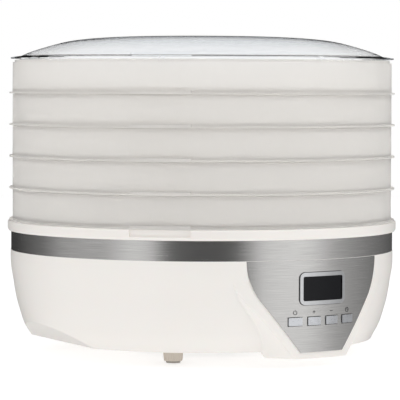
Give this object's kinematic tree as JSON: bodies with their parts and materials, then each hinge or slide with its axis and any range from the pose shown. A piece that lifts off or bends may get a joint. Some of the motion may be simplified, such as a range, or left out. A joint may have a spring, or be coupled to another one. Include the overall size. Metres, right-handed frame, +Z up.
{
  "type": "food_dehydrator",
  "caption": "Round electric food dehydrator with stacked frosted trays, a clear domed lid, a steel band and a shield-shaped control panel with a dark display.",
  "frame": {"origin": "centre of the footprint, on the surface that the feet stand on", "axes": "+Z up the stack, +Y towards the back of the base where the cord gland is, +X to the right of the control panel"},
  "size_m": [0.34, 0.34, 0.2758],
  "materials": {
    "ivory_plastic": "satin moulded plastic",
    "grille_plastic": "satin moulded plastic",
    "brushed_steel": "brushed round the base",
    "silver_bezel": "satin silver plating",
    "display_glass": "gloss dark window",
    "black_plastic": "matte",
    "circuit_board": "solder mask",
    "screw_steel": "zinc plated",
    "silver_button": "satin silver",
    "foot_plastic": "satin moulded plastic",
    "foot_rubber": "matte soft rubber",
    "black_rubber": "matte soft rubber",
    "relay_plastic": "moulded",
    "capacitor_film": "dipped film",
    "duct_plastic": "heat resistant moulding",
    "plated_steel": "zinc plated sheet",
    "motor_case": "painted laminations",
    "bush_brass": "sintered bronze",
    "shaft_steel": "ground",
    "impeller_plastic": "glass filled moulding",
    "heater_mica": "mica sheet",
    "heater_wire": "oxidised resistance wire",
    "tray_plastic": "frosted translucent moulding",
    "lid_clear": "clear gloss moulding"
  },
  "bodies": {
    "base": {"base_housing": "ivory_plastic", "base_deck": "ivory_plastic", "outlet_grille": "grille_plastic", "trim_band": "brushed_steel", "control_fascia": "brushed_steel", "display_bezel": "silver_bezel", "display_window": "display_glass", "lcd_module": "black_plastic", "control_board": "circuit_board", "tact_switches": "black_plastic", "board_screws": "screw_steel", "bottom_cover": "ivory_plastic", "cover_screws": "screw_steel", "foot_1": "foot_plastic", "foot_pad_1": "foot_rubber", "foot_2": "foot_plastic", "foot_pad_2": "foot_rubber", "foot_3": "foot_plastic", "foot_pad_3": "foot_rubber", "foot_4": "foot_plastic", "foot_pad_4": "foot_rubber", "cord_gland": "black_rubber", "board_standoffs": "plated_steel", "power_board": "circuit_board", "power_board_screws": "screw_steel", "relay": "relay_plastic", "capacitor": "capacitor_film", "fan_duct": "duct_plastic", "motor_bracket": "plated_steel", "motor_screws": "screw_steel", "fan_motor": "motor_case", "motor_bushes": "bush_brass", "heater_frame": "heater_mica", "heater_coils": "heater_wire", "thermostat": "plated_steel", "thermal_fuse": "capacitor_film"},
    "power_button_body": {"power_button": "silver_button"},
    "plus_button_body": {"plus_button": "silver_button"},
    "minus_button_body": {"minus_button": "silver_button"},
    "set_button_body": {"set_button": "silver_button"},
    "fan_rotor": {"motor_shaft": "shaft_steel", "rotor_core": "motor_case", "fan_impeller": "impeller_plastic", "impeller_nut": "bush_brass"},
    "tray_1_body": {"tray_1": "tray_plastic", "tray_1_grid": "tray_plastic"},
    "tray_2_body": {"tray_2": "tray_plastic", "tray_2_grid": "tray_plastic"},
    "tray_3_body": {"tray_3": "tray_plastic", "tray_3_grid": "tray_plastic"},
    "tray_4_body": {"tray_4": "tray_plastic", "tray_4_grid": "tray_plastic"},
    "tray_5_body": {"tray_5": "tray_plastic", "tray_5_grid": "tray_plastic"},
    "lid_body": {"lid": "lid_clear"}
  },
  "joints": [
    {"name": "power_press", "type": "slide", "parent": "base", "child": "power_button_body", "axis": [0, 1, 0], "range_m": [0, 0.0008], "stiffness_N_per_m": 600},
    {"name": "plus_press", "type": "slide", "parent": "base", "child": "plus_button_body", "axis": [0, 1, 0], "range_m": [0, 0.0008], "stiffness_N_per_m": 600},
    {"name": "minus_press", "type": "slide", "parent": "base", "child": "minus_button_body", "axis": [0, 1, 0], "range_m": [0, 0.0008], "stiffness_N_per_m": 600},
    {"name": "set_press", "type": "slide", "parent": "base", "child": "set_button_body", "axis": [0, 1, 0], "range_m": [0, 0.0008], "stiffness_N_per_m": 600},
    {"name": "fan_spin", "type": "hinge", "parent": "base", "child": "fan_rotor", "pos_m": [0, 0, 0.0675], "axis": [0, 0, 1], "continuous": true},
    {"name": "tray_5_lift", "type": "slide", "parent": "base", "child": "tray_5_body", "axis": [0, 0, 1], "range_m": [0, 0.05]},
    {"name": "tray_4_lift", "type": "slide", "parent": "tray_5_body", "child": "tray_4_body", "axis": [0, 0, 1], "range_m": [0, 0.05]},
    {"name": "tray_3_lift", "type": "slide", "parent": "tray_4_body", "child": "tray_3_body", "axis": [0, 0, 1], "range_m": [0, 0.05]},
    {"name": "tray_2_lift", "type": "slide", "parent": "tray_3_body", "child": "tray_2_body", "axis": [0, 0, 1], "range_m": [0, 0.05]},
    {"name": "tray_1_lift", "type": "slide", "parent": "tray_2_body", "child": "tray_1_body", "axis": [0, 0, 1], "range_m": [0, 0.05]},
    {"name": "lid_lift", "type": "slide", "parent": "tray_1_body", "child": "lid_body", "axis": [0, 0, 1], "range_m": [0, 0.08]}
  ]
}
